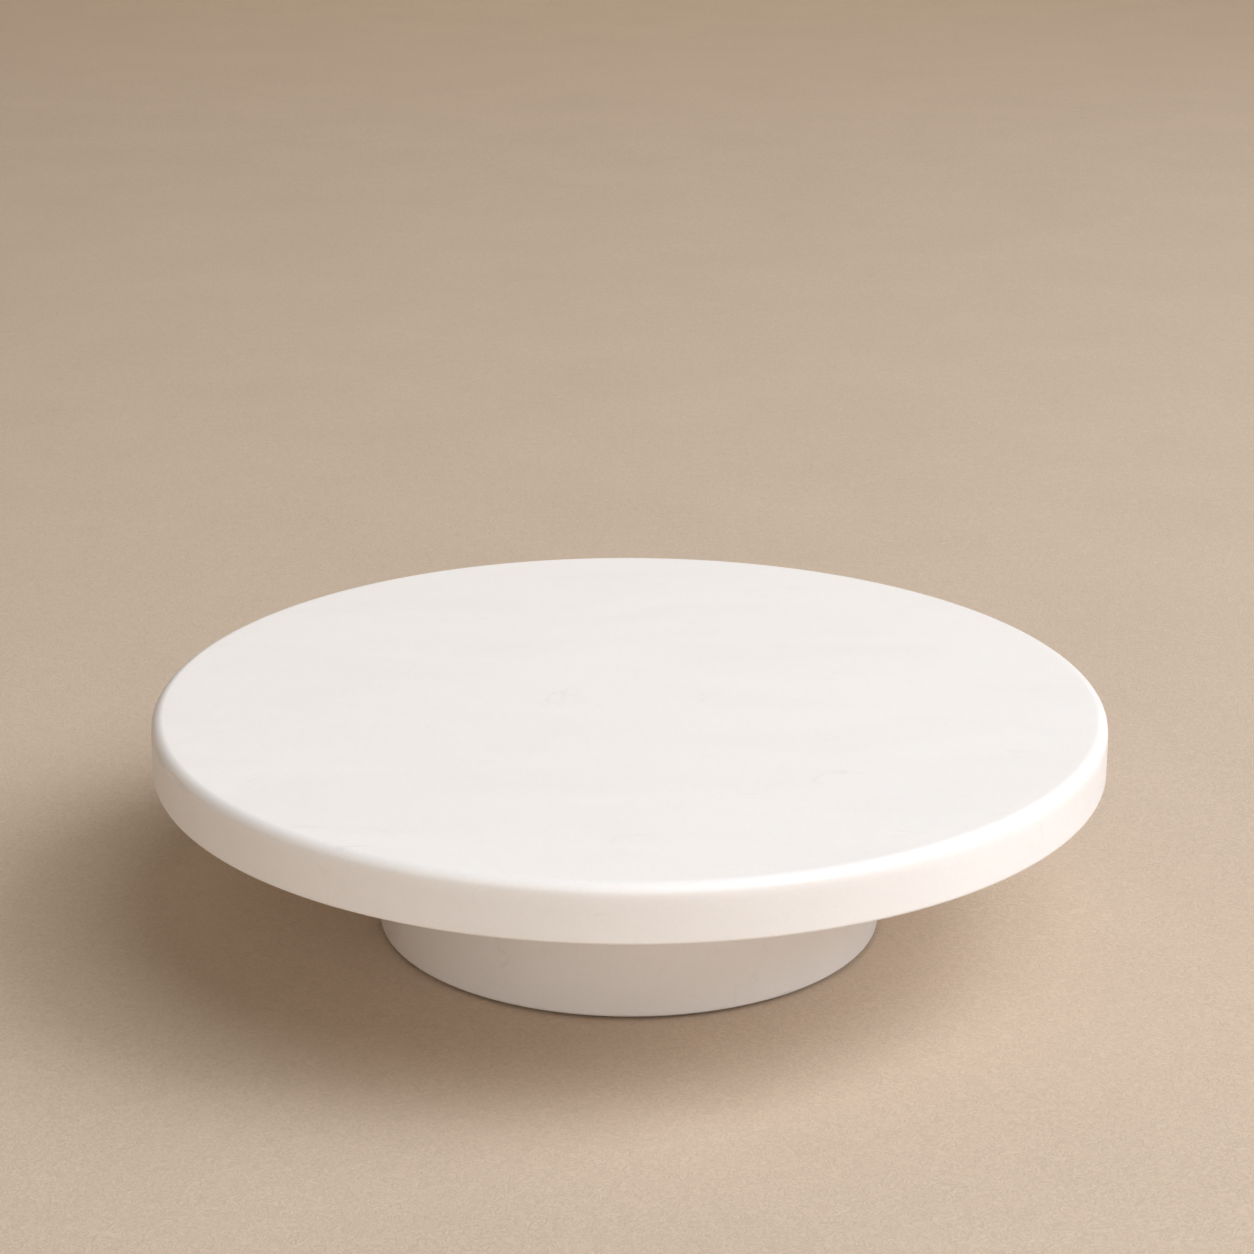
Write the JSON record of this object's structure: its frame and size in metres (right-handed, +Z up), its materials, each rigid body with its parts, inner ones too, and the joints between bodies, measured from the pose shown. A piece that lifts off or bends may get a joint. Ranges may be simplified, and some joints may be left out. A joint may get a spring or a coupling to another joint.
{
  "type": "lazy susan turntable",
  "caption": "Round stone serving plate that spins freely on a ball bearing ring set into the top of a hollow stone drum with small rubber feet.",
  "frame": {"origin": "centre of the circle that the feet stand on, at the height of the surface below them", "axes": "+Z up along the spin axis; +X and +Y across the plate, with the first screws of both races on +X and the feet halfway between the axes"},
  "size_m": [0.305, 0.305, 0.075],
  "materials": {
    "marble": "honed white marble",
    "race_aluminium": "turned",
    "rivet_aluminium": "pressed",
    "screw_steel": "plain",
    "ball_steel": "polished",
    "insert_brass": "turned",
    "gasket_rubber": "matt",
    "cage_nylon": "moulded",
    "foot_rubber": "matt"
  },
  "bodies": {
    "base": {"base_drum": "marble", "drum_gasket": "gasket_rubber", "outer_race": "race_aluminium", "base_screws": "screw_steel", "base_insert_1": "insert_brass", "base_insert_2": "insert_brass", "base_insert_3": "insert_brass", "base_insert_4": "insert_brass", "foot_1": "foot_rubber", "foot_2": "foot_rubber", "foot_3": "foot_rubber", "foot_4": "foot_rubber"},
    "ball_set": {"ball_cage": "cage_nylon", "bearing_balls": "ball_steel"},
    "platter": {"top_plate": "marble", "plate_gasket": "gasket_rubber", "inner_race_upper": "race_aluminium", "inner_race_lower": "race_aluminium", "race_rivets": "rivet_aluminium", "plate_screws": "screw_steel", "plate_insert_1": "insert_brass", "plate_insert_2": "insert_brass", "plate_insert_3": "insert_brass", "plate_insert_4": "insert_brass"}
  },
  "joints": [
    {"name": "platter_spin", "type": "hinge", "parent": "base", "child": "platter", "pos_m": [0, 0, 0.05195], "axis": [0, 0, 1], "continuous": true},
    {"name": "cage_spin", "type": "hinge", "parent": "base", "child": "ball_set", "pos_m": [0, 0, 0.05195], "axis": [0, 0, 1], "continuous": true}
  ],
  "couplings": [
    {"joint": "cage_spin", "follows": "platter_spin", "ratio": 0.4848}
  ]
}
